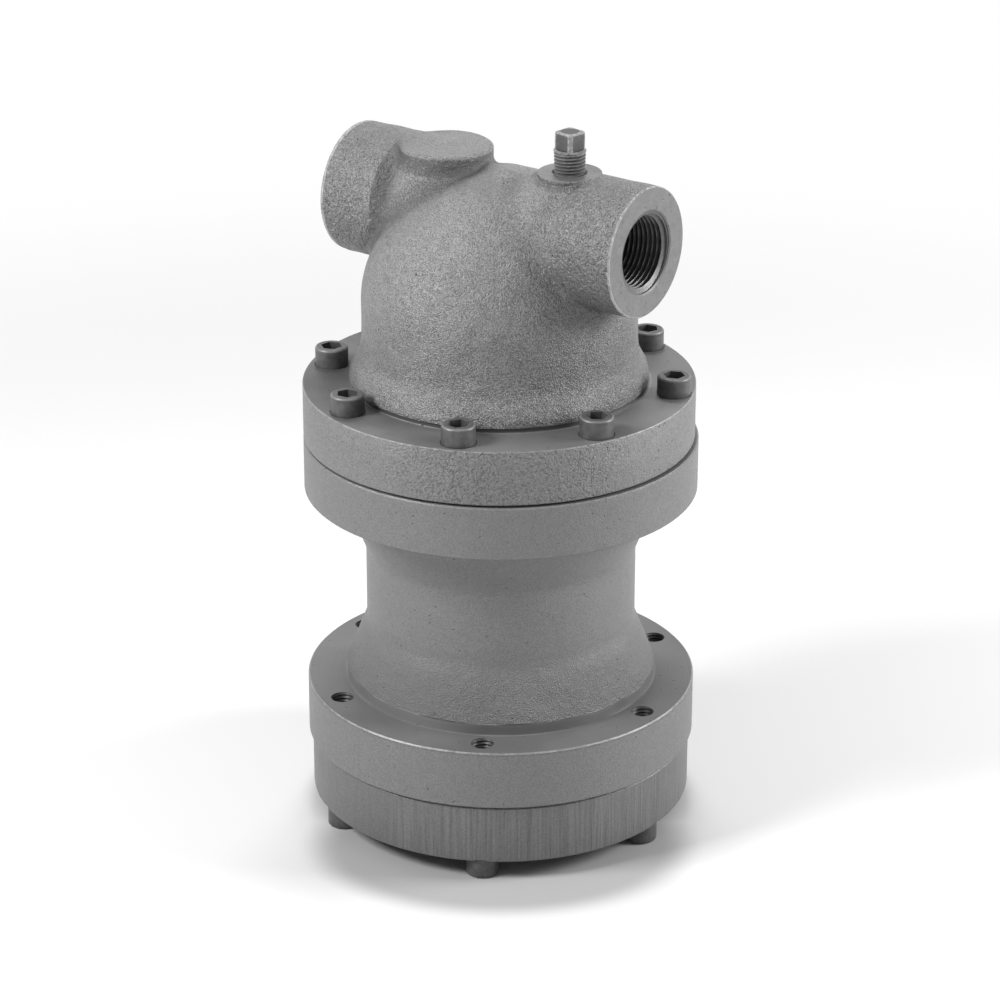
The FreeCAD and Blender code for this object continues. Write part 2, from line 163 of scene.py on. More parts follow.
# The saw's upright strokes are long in Z, and stronger in some patches than in others.
cover_finish, tree, surface, where = start_finish("sawn_iron", 0.45, 0.45)
strokes = noise(tree, stretch(tree, where, (1, 1, 0.02)), cover_strokes, 2.0, 0.6)
skin = use_effect(tree, cast_skin, where, Grain=cover_grain)
patches = ramp(tree, noise(tree, where, 18.0), 0.45, 0.6)
marks = times(tree, calculate(tree, "SUBTRACT", strokes, 0.5), scale_add(tree, patches, 1.1, 0.4))
tone = scale_add(tree, skin["Tone"], 0.3, scale_add(tree, marks, 0.8, 0.33))
height = scale_add(tree, marks, 3.5, skin["Height"])
dress(tree, surface, shade(tree, tone, *cover_greys), height, cover_bump)
finish_node("bottom_cover", cover_finish)


# Gaskets: two flat rings cut from black sheet, one on each side of the body.
# The screws clamp them between the flanges, where they show only as thin dark lines.
gasket_greys = 0.012, 0.03

gasket_finish, tree, surface, where = start_finish("black_sheet", 0.8)
dress(tree, surface, shade(tree, noise(tree, where, 900.0), *gasket_greys))
for name in ("cover_gasket", "cap_gasket"):
    finish_node(name, gasket_finish)


# Body: one iron casting with a flange at each end. Its barrel and the flange edges are as cast,
# and the flange faces and the band at the foot of each hub are turned.
body_low, body_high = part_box("body")
lower_face = body_low.z + 0.0254
body_grain, body_rings, body_bump = 1900.0, 1600.0, 0.0002
body_greys, turned_greys, worn_grey, hole_grey = (0.15, 0.215), (0.145, 0.20), 0.29, 0.05
body_rim, hub_foot = 0.0822, 0.0665
flat_lean = 0.93, 0.99


def between(tree, share, first, second):
    """Number between two numbers, by a share from 0 to 1."""
    return place(tree, "ShaderNodeMix", {0: share, 2: first, 3: second}).outputs[0]


def above(tree, value, limit):
    """Mask that is 1 where the value is over the limit."""
    return calculate(tree, "GREATER_THAN", value, limit)


def below(tree, value, limit):
    """Mask that is 1 where the value is under the limit."""
    return calculate(tree, "LESS_THAN", value, limit)


def either(tree, first, second):
    """Greater of two masks, so that both show."""
    return calculate(tree, "MAXIMUM", first, second)


def size_of(tree, value):
    """Value without its sign."""
    return calculate(tree, "ABSOLUTE", value)


def split(tree, vector):
    """The vector's parts, named X, Y and Z."""
    return place(tree, "ShaderNodeSeparateXYZ", {0: vector}).outputs


def facing(tree, kind="Normal"):
    """Parts of the direction that the surface faces: smoothed, or each face's own for True Normal."""
    return split(tree, tree.nodes.new("ShaderNodeNewGeometry").outputs[kind])


def length(tree, vector):
    """Length of a vector."""
    return place(tree, "ShaderNodeVectorMath", {0: vector}, operation="LENGTH").outputs["Value"]


def axis_reach(tree, vector, across=(1, 1, 0)):
    """Distance from an axis: the length of the vector's parts across it."""
    return length(tree, stretch(tree, vector, across))


# Pits: scattered pin holes, where sand came away.
pin_holes, given, result = start_effect("pin_holes", ["Spread", "Size"], ["Mask"])
cells = place(pin_holes, "ShaderNodeTexVoronoi", {"Vector": given["Vector"], "Scale": given["Spread"]})
rare = place(pin_holes, "ShaderNodeSeparateColor", {0: cells.outputs["Color"]}).outputs[0]
near = ramp(pin_holes, cells.outputs["Distance"], given["Size"], 0.0)
pin_holes.links.new(times(pin_holes, near, ramp(pin_holes, rare, 0.8, 0.86)), result["Mask"])

# Turning marks: fine rings round the lathe's axis, which is the vector's Z.
turning, given, result = start_effect("turning", ["Rings"], ["Height", "Tone"])
lathe = {0: axis_reach(turning, given["Vector"]), 2: split(turning, given["Vector"])["Z"]}
rings = noise(turning, place(turning, "ShaderNodeCombineXYZ", lathe).outputs[0], given["Rings"], 2.0)
turning.links.new(rings, result["Height"])
cloud = scale_add(turning, rings, 0.35, noise(turning, given["Vector"], 25.0, 3.0))
turning.links.new(ramp(turning, cloud, 0.4, 0.95), result["Tone"])

# Worn rim: the thin bright line, broken by nicks, that handling leaves on a turned corner.
# It shows where the surface leans between a flat face and an upright wall, outside a radius.
worn_rim, given, result = start_effect("worn_rim", ["Radius"], ["Mask"])
lean = facing(worn_rim, "True Normal")["Z"]
corner = times(worn_rim, ramp(worn_rim, lean, 0.2, 0.4), ramp(worn_rim, lean, 0.97, 0.9))
outside = above(worn_rim, axis_reach(worn_rim, given["Vector"]), given["Radius"])
nicks = ramp(worn_rim, noise(worn_rim, given["Vector"], 260.0, 3.0, 0.7), 0.34, 0.64, 0.15, 1.0)
worn_rim.links.new(times(worn_rim, corner, outside, nicks), result["Mask"])

# Foot ring: the thin bright line that a turning tool leaves on a flange's face, round the foot of a hub.
foot_ring, given, result = start_effect("foot_ring", ["Radius", "Level"], ["Mask"])
away = calculate(foot_ring, "SUBTRACT", axis_reach(foot_ring, given["Vector"]), given["Radius"])
over = calculate(foot_ring, "SUBTRACT", split(foot_ring, given["Vector"])["Z"], given["Level"])
line = times(foot_ring, ramp(foot_ring, size_of(foot_ring, away), 0.0006, 0.0003),
             ramp(foot_ring, size_of(foot_ring, over), 0.0005, 0.0003))
worn = ramp(foot_ring, noise(foot_ring, given["Vector"], 40.0, 3.0), 0.35, 0.65, 0.3, 0.9)
foot_ring.links.new(times(foot_ring, line, worn), result["Mask"])

# The turned band is 5 mm high at the hub's foot, and the hub over it is rougher, with painted shade that
# darkens its colour.
body_finish, tree, surface, where = start_finish("body_iron", 0.5, 0.3)
skin = use_effect(tree, cast_skin, where, Grain=body_grain)
marks = use_effect(tree, turning, where, Rings=body_rings)
rim = use_effect(tree, worn_rim, where, Radius=body_rim)
holes = use_effect(tree, pin_holes, where, Spread=380.0, Size=0.2)
foot_line = use_effect(tree, foot_ring, where, Radius=hub_foot, Level=lower_face)
level = split(tree, where)["Z"]
band = ramp(tree, level, lower_face + 0.0052, lower_face + 0.0045)
turned = times(tree, band, above(tree, level, lower_face - 0.0005))
turned = either(tree, turned, ramp(tree, facing(tree)["Z"], *flat_lean))
# Painted shade: the hub's flare over the band is darkened in colour.
hub = times(tree, ramp(tree, level, lower_face + 0.034, lower_face + 0.016),
            ramp(tree, level, lower_face - 0.002, lower_face))
cast_tone = shade(tree, scale_add(tree, hub, -0.9, skin["Tone"]), *body_greys)
base = shade(tree, turned, cast_tone, shade(tree, marks["Tone"], *turned_greys))
base = shade(tree, holes["Mask"], base, hole_grey)
worn = times(tree, rim["Mask"], below(tree, level, lower_face + 0.001))
base = shade(tree, either(tree, worn, foot_line["Mask"]), base, worn_grey)
rough = times(tree, skin["Height"], scale_add(tree, hub, 2.4, 1.0))
rough = between(tree, turned, rough, times(tree, marks["Height"], 0.25))
dress(tree, surface, base, scale_add(tree, holes["Mask"], -2.0, rough), body_bump)
finish_node("body", body_finish)


# Baffle: a round plate cut from steel sheet, which rests on three round posts and is held by three screws.
# Rolling leaves fine lines across the sheet, and water leaves it dull.
baffle_greys, baffle_bump = (0.14, 0.30), 0.00004

baffle_finish, tree, surface, where = start_finish("rolled_steel", 0.45, 0.6)
lines = noise(tree, stretch(tree, where, (1, 0.03, 1)), 700.0, 3.0)
dress(tree, surface, shade(tree, lines, *baffle_greys), lines, baffle_bump)
for name in ("baffle_plate", "baffle_screws", "baffle_post_1", "baffle_post_2", "baffle_post_3"):
    finish_node(name, baffle_finish)


# Vane ring: a small iron casting on the tube, whose slanted vanes make the wet air spin.
# It has the same sand grain as the cap, a little coarser.
vane_grain, vane_greys, vane_bump = 1700.0, (0.12, 0.22), 0.0003

vane_finish, tree, surface, where = start_finish("vane_iron", 0.5, 0.3)
skin = use_effect(tree, cast_skin, where, Grain=vane_grain)
dress(tree, surface, shade(tree, skin["Tone"], *vane_greys), skin["Height"], vane_bump)
finish_node("vane_ring", vane_finish)


# Outlet tube and its nut: drawn steel tube, threaded into the cap's outlet passage, with a turned nut.
# Drawing leaves faint lines along the tube.
tube_greys, tube_bump = (0.16, 0.34), 0.00004

tube_finish, tree, surface, where = start_finish("drawn_steel", 0.38, 0.7)
lines = noise(tree, stretch(tree, where, (1, 1, 0.02)), 900.0, 2.0)
dress(tree, surface, shade(tree, lines, *tube_greys), lines, tube_bump)
for name in ("outlet_tube", "tube_nut"):
    finish_node(name, tube_finish)


# Cap flange: the turned lower rim of the cap casting, with a low step round the foot of its dome.
# Eight screws stand in shallow spot faces that a cutter sank round their clearance holes.
cap_low, cap_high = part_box("cap")
flange_top = body_high.z + 0.0241
cap_middle = np.array([-0.0006068, -0.0004408, flange_top])
flange_reach = (cap_high.y - cap_low.y) / 2
flange_depth = flange_top - cap_low.z
step_reach, step_height = 0.0621, 0.0023
screw_circle, screw_count = 0.0735, 8
spot_reach, spot_depth, hole_reach = 0.0075, 0.0004, 0.0052
hollow_reach, hollow_rise = 0.050, 0.034
face_inner, face_outer = step_reach + 0.0008, flange_reach - 0.0005
arc_points, side_points = 28, 3
flange_grain, flange_rings, flange_bump = 1800.0, 1600.0, 0.0002
flange_rim, dome_foot = 0.0812, 0.0625
edge_greys, face_greys, step_shade_grey, bright_grey = (0.135, 0.235), (0.075, 0.215), 0.05, 0.31


def quads(rows, columns):
    """Faces between neighbouring rows of points, each row closed on itself."""
    first = np.arange(rows - 1)[:, None] * columns
    here = np.arange(columns)[None, :]
    ahead = (here + 1) % columns
    corners = [first + here, first + ahead, first + columns + ahead, first + columns + here]
    return np.stack(corners, -1).reshape(-1, 4)


def full_turn(count):
    """Evenly spaced angles once round, without the last that closes the circle."""
    return np.arange(count) * 2 * math.pi / count


def turned_rows(profile, angles):
    """Lathe surface: each (radius, height) carried round the Z axis, as (r cos a, r sin a, z)."""
    radius, height = np.array(profile).T[:, :, None]
    points = [radius * np.cos(angles), radius * np.sin(angles), height + 0 * angles]
    return np.stack(points, -1).reshape(-1, 3), quads(len(profile), len(angles))[:, ::-1]


def add_piece(name, patches, material, middle=(0, 0, 0), sharp=32.0):
    """One mesh from patches of points and faces, with the patches' shared edges sewn together."""
    starts = np.cumsum([0] + [len(points) for points, faces in patches])
    points = np.concatenate([points for points, faces in patches]) + np.array(middle)
    faces = np.concatenate([patch[1] + start for patch, start in zip(patches, starts)])
    mesh = bpy.data.meshes.new(name)
    mesh.vertices.add(len(points))
    mesh.vertices.foreach_set("co", points.astype(np.float32).ravel())
    mesh.loops.add(faces.size)
    mesh.loops.foreach_set("vertex_index", faces.astype(np.int32).ravel())
    mesh.polygons.add(len(faces))
    mesh.polygons.foreach_set("loop_start", np.arange(0, faces.size, 4, dtype=np.int32))
    mesh.update(calc_edges=True)
    sewn = bmesh.new()
    sewn.from_mesh(mesh)
    bmesh.ops.remove_doubles(sewn, verts=sewn.verts, dist=2e-6)
    sewn.to_mesh(mesh)
    sewn.free()
    mesh.shade_smooth()
    mesh.set_sharp_from_angle(angle=math.radians(sharp))
    mesh.materials.append(material)
    piece = bpy.data.objects.new(name, mesh)
    bpy.context.scene.collection.objects.link(piece)
    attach(piece, "root")
    return piece


def drilled_flange(inner, outer):
    """Flange between two radii with a ring of stepped screw holes, one patch for each screw's slice.

    Each point of a slice's border is joined to the point of the hole's circle that lies towards it,
    and those circle points go down the spot face and the hole to the same slice of the lower face.
    The holes are centred on the body's axis, where the screws stand, and not on the cap's.
    """
    half = math.pi / screw_count
    arc = np.linspace(-half, half, arc_points + 1)
    side = np.linspace(inner, outer, side_points + 1)[1:-1]
    reach = np.concatenate([0 * arc + outer, side[::-1], 0 * arc + inner, side])
    turn = np.concatenate([arc, 0 * side + half, arc[::-1], 0 * side - half])
    border = np.stack([reach * np.cos(turn), reach * np.sin(turn)], -1)
    patches = []
    for index in range(screw_count):
        spin = half + index * 2 * half
        across = np.array([[math.cos(spin), math.sin(spin)], [-math.sin(spin), math.cos(spin)]])
        edge = border @ across
        hub = np.array([screw_circle, 0.0]) @ across - cap_middle[:2]
        toward = edge - hub
        toward /= np.linalg.norm(toward, axis=1)[:, None]
        spot, hole = hub + toward * spot_reach, hub + toward * hole_reach
        loops = [(edge, 0.0), (spot, 0.0), (spot, -spot_depth), (hole, -spot_depth),
                 (hole, -flange_depth), (edge, -flange_depth)]
        points = [np.column_stack([loop, np.full(len(edge), level)]) for loop, level in loops]
        patches.append((np.concatenate(points), quads(len(loops), len(edge))))
    return patches


# Holes and faces, then the rim, the step and the hollow inside, which is a quarter circle in section.
rim_turns = full_turn(screw_count * arc_points)
flange_patches = drilled_flange(face_inner, face_outer)
flange_patches.append(turned_rows([
    (face_outer, 0), (face_outer + 0.0003, -0.0001), (flange_reach, -0.0005),
    (flange_reach, 0.0005 - flange_depth), (face_outer, -flange_depth)], rim_turns))
flange_patches.append(turned_rows([
    (0.054, step_height), (step_reach - 0.0002, step_height), (step_reach, step_height - 0.0002),
    (step_reach, 0.0007), (step_reach + 0.0002, 0.0002), (face_inner, 0)], rim_turns))
quarter = np.linspace(0.0, math.pi / 2, 16)
flange_patches.append(turned_rows(
    [(face_inner, -flange_depth), (hollow_reach, -flange_depth)]
    + [(hollow_reach * math.cos(a), hollow_rise + hollow_reach * math.sin(a)) for a in quarter], rim_turns))


def along(tree, vector, way):
    """How far a point lies in a direction: their dot product."""
    inputs = {0: vector, 1: way}
    return place(tree, "ShaderNodeVectorMath", inputs, operation="DOT_PRODUCT").outputs["Value"]


# The edge is pebbled and dented at the front, and the turned face has painted light that brightens it to the
# right.
flange_finish, tree, surface, where = start_finish("cap_flange_iron", 0.5, 0.3)
skin = use_effect(tree, cast_skin, where, Grain=flange_grain)
marks = use_effect(tree, turning, where, Rings=flange_rings)
rim = use_effect(tree, worn_rim, where, Radius=flange_rim)
foot_line = use_effect(tree, foot_ring, where, Radius=dome_foot, Level=flange_top)
holes = use_effect(tree, pin_holes, where, Spread=330.0, Size=0.2)
lean = facing(tree)["Z"]
step = times(tree, above(tree, split(tree, where)["Z"], flange_top + 0.00025), ramp(tree, lean, 0.8, 0.5))
turned = either(tree, ramp(tree, lean, *flat_lean), step)
cloud = scale_add(tree, noise(tree, where, 60.0, 3.0), 0.030, along(tree, where, (0.63, -0.78, 0)))
pebbles = ramp(tree, cloud, 0.080, 0.094, 1.0, 2.0)
dents = times(tree, ramp(tree, noise(tree, where, 900.0, 2.0), 0.52, 0.66),
              ramp(tree, cloud, 0.078, 0.094, 0.08, 0.9))
cast_tone = shade(tree, scale_add(tree, dents, -1.0, skin["Tone"]), *edge_greys)
# Painted light: the turned face's colour brightens to the right.
painted_light_sweep = ramp(tree, along(tree, where, (0.91, -0.41, 0)), -0.05, 0.08, 0.0, 0.5)
turned_tone_and_painted_shading = shade(tree, scale_add(tree, marks["Tone"], 0.5, painted_light_sweep), *face_greys)
# Painted shade: the step's upright wall is coloured near black.
turned_tone_and_painted_shading = shade(tree, step, turned_tone_and_painted_shading, step_shade_grey)
base = shade(tree, turned, cast_tone, turned_tone_and_painted_shading)
base = shade(tree, holes["Mask"], base, hole_grey)
base = shade(tree, either(tree, rim["Mask"], foot_line["Mask"]), base, bright_grey)
dents = times(tree, dents, calculate(tree, "SUBTRACT", 1.0, turned))
rough = between(tree, turned, times(tree, skin["Height"], pebbles), times(tree, marks["Height"], 0.25))
rough = scale_add(tree, dents, -1.5, rough)
dress(tree, surface, base, scale_add(tree, holes["Mask"], -2.5, rough), flange_bump)
cap_flange = add_piece("cap_flange", flange_patches, flange_finish, cap_middle)


# Cap dome: the sand-cast part of the cap, a dome with two opposed round bosses for the pipes.
# A blank pad and a pad bored for the vent plug stand on top, with a low ridge between them.
# It is worked out in millimetres from the flange's top, as distances to simple forms that are blended.
dome_reach, dome_rise = 57.4, 33.6
skirt_levels = [0, 2.3, 4, 6, 8, 10, 12.4, 15, 20, 34]
skirt_flares = [5.3, 5.3, 5.1, 4.6, 3.8, 2.5, 1.2, 0.5, 0.05, 0]
outlet_bar = (30.0, 0, 70.0), (140.0, 0, 70.0), 27.0
inlet_bar = (-30.7, 0, 70.6), (-140.0, 0, 70.6), 27.7
ridge_bar = (-6.0, 1.6, 88.6), (22.0, -5.4, 90.4), 3.4
port_level, notch_outer, notch_inner = 70.0, 46.5, 33.0
side_weight, rise_weight, side_power = 0.87, 0.5, 6
blank_pad, vent_pad = (-27.0, 19.5, 97.4), (34.9, 13.1, 96.8)
sunk, ray_start = 1.2, 112.0
mould_waves = (30, 0.12), (24, 0.10), (19, 0.08), (15, 0.06), (12, 0.05), (9, 0.04)

# These are in metres: the port's axis over the flange, its ends, mouths and faces, and the vent pad's top.
port_rise, port_end = 0.0700, 0.0725
outlet_reach, inlet_reach, inlet_lift = 0.0270, 0.0277, 0.0006
mouth_reach, mouth_depth, thread_mouth, face_middle = 0.0177, 0.0005, 0.0171, 0.0225
vent_x, vent_top = 0.0349, 0.0968
skirt_foot = [(0.0600, 0.00218), (0.06272, 0.00218), (0.06274, 0.0023), (0.06264, 0.0032), (0.0620, 0.0034)]
around_port, along_port = 320, 212
dome_grain, dome_bump = 1950.0, 0.00052
dome_greys, faced_greys, rim_highlight_grey = (0.095, 0.295), (0.12, 0.24), 0.38


def blend(first, second, width):
    """Lesser of two distances, rounded where they differ by less than the width: min - h h width / 4."""
    share = np.maximum(width - np.abs(first - second), 0) / width
    return np.minimum(first, second) - share * share * width / 4


def bar(x, y, z, start, end, radius):
    """Distance to a round bar with ball ends: the distance to its middle line, less its radius."""
    start, line = np.array(start), np.array(end) - np.array(start)
    share = ((x - start[0]) * line[0] + (y - start[1]) * line[1] + (z - start[2]) * line[2]) / (line @ line)
    share = np.clip(share, 0, 1)
    return np.sqrt((x - start[0] - share * line[0]) ** 2 + (y - start[1] - share * line[1]) ** 2
                   + (z - start[2] - share * line[2]) ** 2) - radius


def pad(x, y, z, place_x, radius, top, edge):
    """Distance to an upright round pad with a rounded upper edge."""
    out, over = np.hypot(x - place_x, y) - radius + edge, z - top + edge
    return np.minimum(np.maximum(out, over), 0) + np.hypot(np.maximum(out, 0), np.maximum(over, 0)) - edge


def waves(x, y, z):
    """Slow unevenness of a sand mould's wall: a seeded sum of sine waves from 9 to 30 mm long."""
    chance = np.random.default_rng(11)
    total = 0 * x
    for wave_length, depth in mould_waves:
        way = chance.normal(size=3)
        way *= 2 * math.pi / wave_length / np.linalg.norm(way)
        total = total + depth * np.sin(way[0] * x + way[1] * y + way[2] * z + chance.uniform(0, 6.28))
    return total


def ball(x, y, z):
    """Distance to the dome's round upper part."""
    return np.sqrt(x * x + y * y + (z - dome_rise) ** 2) - dome_reach


def bare_cap(x, y, z):
    """Distance to the cap without its pads: dome, skirt, bosses and ridge blended in turn.

    A notch up to 3 mm deep runs round each boss's side where it meets its shoulder. It is weighed by
    the sixth power of how far a point lies to the side and upwards of the port's axis.
    """
    wall = (np.hypot(x, y) - dome_reach - np.interp(z, skirt_levels, skirt_flares)) * 0.9
    dome = np.where(z > dome_rise, ball(x, y, z), wall)
    sideways = np.maximum(side_weight * np.abs(y) + rise_weight * (z - port_level), 0)
    sideways = sideways / np.sqrt(y * y + (z - port_level) ** 2 + 1)
    out = np.abs(x)
    notch = np.clip(np.minimum(0.43 * (notch_outer - out), 0.35 * (out - notch_inner)), 0, 3)
    notch = notch * sideways ** side_power
    shape = blend(dome, bar(x, y, z, *outlet_bar) + notch, 4.5)
    shape = blend(shape, bar(x, y, z, *inlet_bar) + notch, 4.0)
    fade = np.clip((72.3 - out) / 5, 0, 1) * np.clip((z - 3) / 5, 0, 1)
    return np.maximum(blend(shape, bar(x, y, z, *ridge_bar), 3.0) - waves(x, y, z) * fade, 2.2 - z)


def padded_cap(x, y, z):
    """The same with both pads, blended softly at their feet and tightly at their upper edges."""
    blank = pad(x, y, z, *blank_pad, 1.6) - 0.6 * waves(y, x, z)
    shape = blend(bare_cap(x, y, z), blank, np.interp(z, [93.0, 96.5], [3.0, 1.4]))
    over = np.hypot(x - vent_pad[0], y) - 13.4
    level = np.maximum(shape, np.minimum(z - 96.5, -over))
    return blend(level, pad(x, y, z, *vent_pad, 0.3), np.interp(z, [93.5, 95.8], [3.0, 0.5]))


def traced(distance, start, ray, reach):
    """Points where rays that come in from the given reach meet the surface: reach falls by the distance."""
    for step in range(70):
        reach = reach - distance(*(start + ray * reach)) * 0.9
    return start + ray * reach


def port_rays(tilts, turns):
    """Unit vectors tilted from the port axis X, and turned round it from Y."""
    parts = np.cos(tilts), np.sin(tilts) * np.cos(turns), np.sin(tilts) * np.sin(turns)
    return np.stack(np.broadcast_arrays(*parts))


# Skin from rim to rim of the ports: rings of rays from the middle, tilted so that they land evenly far
# apart along the cap's lower line and its two sides.
port_turns = full_turn(around_port)
tilt_ends = math.atan2(outlet_reach, port_end - 0.0004), math.pi - math.atan2(inlet_reach, port_end - 0.0016)
port_middle = np.array([0, 0, port_level])
probe = np.linspace(*tilt_ends, 1200)
lengths = 0
for angle in (math.pi, 1.5 * math.pi, 0.5 * math.pi):
    line = traced(bare_cap, port_middle[:, None], port_rays(probe, angle), np.full(probe.shape, ray_start))
    lengths = lengths + np.concatenate([[0], np.cumsum(np.linalg.norm(np.diff(line, axis=1), axis=0))])
tilts = np.interp(np.linspace(0, lengths[-1], along_port), lengths, probe)
rays = port_rays(tilts[:, None], port_turns[None, :])
skin_points = traced(bare_cap, port_middle[:, None, None], rays, np.full(rays.shape[1:], ray_start))
under_pad = np.clip(13.0 - np.hypot(skin_points[0] - vent_pad[0], skin_points[1]), 0, 1)
skin_points[2] -= sunk * (under_pad * (skin_points[2] > 90))
skin_points = np.moveaxis(skin_points, 0, -1) / 1000


def port_rows(profile, lift):
    """Rings about a port's axis: each (distance along X, radius) carried round it."""
    along_x, radius = np.array(profile).T[:, :, None]
    height = port_rise + np.array(lift)[:, None] + radius * np.sin(port_turns)
    return np.stack([along_x + 0 * port_turns, radius * np.cos(port_turns), height], -1)


outlet_rim = port_rows([(port_end - mouth_depth, thread_mouth), (port_end, mouth_reach),
                        (port_end, face_middle), (port_end, outlet_reach - 0.0005)], [0, 0, 0, 0])
inlet_rim = port_rows([(-port_end + 0.0004, inlet_reach - 0.0004), (-port_end, inlet_reach - 0.0012),
                       (-port_end, face_middle), (-port_end, mouth_reach),
                       (-port_end + mouth_depth, thread_mouth)], [inlet_lift, inlet_lift, 0, 0, 0])
cap_rows = np.concatenate([outlet_rim, skin_points, inlet_rim])
cap_patches = [(cap_rows.reshape(-1, 3), quads(len(cap_rows), around_port))]


def pad_patch(place_x, radius, top, columns, start_rows):
    """Lid over a pad, traced by upright rays inside its edge and by a fan of rays past the edge.

    The fan's rays start inside the metal, 4 mm in from the edge and 11 mm down, and lean outwards from
    upright, so they reach the pad's edge, its wall and the skin about its foot. They lean less along the
    bosses, so that they all come out. The last ring is sunk into the skin, so that no lip shows.
    """
    fans = np.concatenate([np.linspace(4, 17, 7), np.linspace(18, 30, 17), np.linspace(32, 105, 32)])
    angles = full_turn(columns)
    out = np.stack([np.cos(angles), np.sin(angles)])
    inside = np.concatenate([start_rows, np.full(len(fans), radius - 4.0)])[:, None]
    lean = np.radians(np.concatenate([0 * np.array(start_rows), fans]))[:, None]
    lean = lean * (1 - 0.44 * np.cos(angles) ** 2)
    bottom = np.full((len(inside), columns), top - 11.0)
    start = np.stack([place_x + inside * out[0], inside * out[1], bottom])
    ray = np.stack([np.sin(lean) * out[0], np.sin(lean) * out[1], np.cos(lean) + 0 * angles])
    points = traced(padded_cap, start, ray, np.full(start.shape[1:], 30.0))
    points[:, -1] -= sunk * ray[:, -1]
    return np.moveaxis(points, 0, -1).reshape(-1, 3) / 1000, quads(len(inside), columns)[:, ::-1]


# Both pads, the vent's bore with its broken edge, and a ring that closes the skirt's foot.
blank_rows = [0.01, 1.5, 3, 4.5, 6, 7.5, 9, 10.5, 12, 13.5, 14.5]
cap_patches.append(pad_patch(*blank_pad, 230, blank_rows))
cap_patches.append(pad_patch(*vent_pad, 170, [7.25, 8.0]))
vent_bore = turned_rows([(0.0064, 0.0920), (0.0066, 0.0961), (0.00725, vent_top)],
                        np.linspace(0, 2 * math.pi, 97)[:-1])
vent_bore[0][:, 0] += vent_x
cap_patches.append(vent_bore)
cap_patches.append(turned_rows(skirt_foot, rim_turns))

# Faced and so smoother and greyer: the bosses' ends, the ports' mouths and the vent pad's top.
dome_finish, tree, surface, where = start_finish("cap_iron", 0.44, 0.4)
parts, lean = split(tree, where), facing(tree)
out = size_of(tree, parts["X"])
port = place(tree, "ShaderNodeVectorMath", {0: where, 1: (0, 0, flange_top + port_rise)},
             operation="SUBTRACT").outputs[0]
port_reach = axis_reach(tree, port, (0, 1, 1))
ends = times(tree, ramp(tree, size_of(tree, lean["X"]), 0.985, 0.998), above(tree, out, 0.071))
mouths = times(tree, below(tree, port_reach, 0.0179), above(tree, out, 0.068))
pad_top = times(tree, ramp(tree, lean["Z"], 0.985, 0.998), above(tree, parts["X"], 0.0208),
                below(tree, parts["X"], 0.0474), above(tree, parts["Z"], 0.2895))
faced = either(tree, either(tree, ends, mouths), pad_top)

# Sand grain, with painted shade along the bosses, in the creases and in the inlet boss's notch.
skin = use_effect(tree, cast_skin, where, Grain=dome_grain)
holes = use_effect(tree, pin_holes, where, Spread=220.0, Size=0.13)
patches = ramp(tree, noise(tree, where, 22.0, 2.0), 0.4, 0.62)
speckle_and_shade = scale_add(tree, patches, 0.08, times(tree, skin["Tone"], 0.92))
# Painted shade: the bosses' colour is darkened along their length.
speckle_and_shade = scale_add(tree, ramp(tree, out, 0.028, 0.055), -0.22, speckle_and_shade)
own = split(tree, port)
sideways = scale_add(tree, own["Z"], rise_weight, times(tree, size_of(tree, own["Y"]), side_weight))
sideways = calculate(tree, "DIVIDE", calculate(tree, "MAXIMUM", sideways, 0.0), port_reach)
# Painted shade in the inlet boss's notch, where its shoulder turns away from the light.
notch = times(tree, ramp(tree, parts["X"], -0.0472, -0.0466), ramp(tree, parts["X"], -0.036, -0.044),
              calculate(tree, "POWER", sideways, side_power))
speckle_and_shade = scale_add(tree, notch, -0.8, speckle_and_shade)
# Painted shade in the creases and at the pads' feet, read from a per-point attribute worked out below.
painted_crease_shade = place(tree, "ShaderNodeAttribute", attribute_name="painted_crease_shade").outputs["Fac"]
cast_tone = shade(tree, scale_add(tree, painted_crease_shade, -0.55, speckle_and_shade), *dome_greys)
pits = times(tree, ramp(tree, noise(tree, where, 700.0, 2.0), 0.64, 0.70), -0.9)
faced_tone = calculate(tree, "ADD", noise(tree, where, 260.0, 4.0, 0.65), pits)
base = shade(tree, faced, cast_tone, shade(tree, faced_tone, *faced_greys))
base = shade(tree, holes["Mask"], base, hole_grey)

# A painted highlight round both ends' edge, broken by nicks, and long dents and weaker grain on the bosses.
edge = times(tree, above(tree, out, 0.0713), ramp(tree, port_reach, 0.0263, 0.0266))
nicks = ramp(tree, noise(tree, where, 300.0, 3.0, 0.7), 0.3, 0.6, 0.25, 0.9)
base = shade(tree, times(tree, edge, nicks), base, rim_highlight_grey)
boss = times(tree, ramp(tree, out, 0.036, 0.046), ramp(tree, port_reach, 0.031, 0.029))
depth = scale_add(tree, patches, 0.4, scale_add(tree, boss, -0.35, 0.85))
dents = ramp(tree, noise(tree, stretch(tree, where, (1, 1, 0.7)), 620.0, 1.0), 0.42, 0.68)
grain = scale_add(tree, times(tree, dents, boss), -0.65, times(tree, skin["Height"], depth))
grain = between(tree, faced, grain, 0.0)
dress(tree, surface, base, scale_add(tree, holes["Mask"], -1.2, grain), dome_bump)
cap_casting = add_piece("cap_casting", cap_patches, dome_finish, cap_middle)

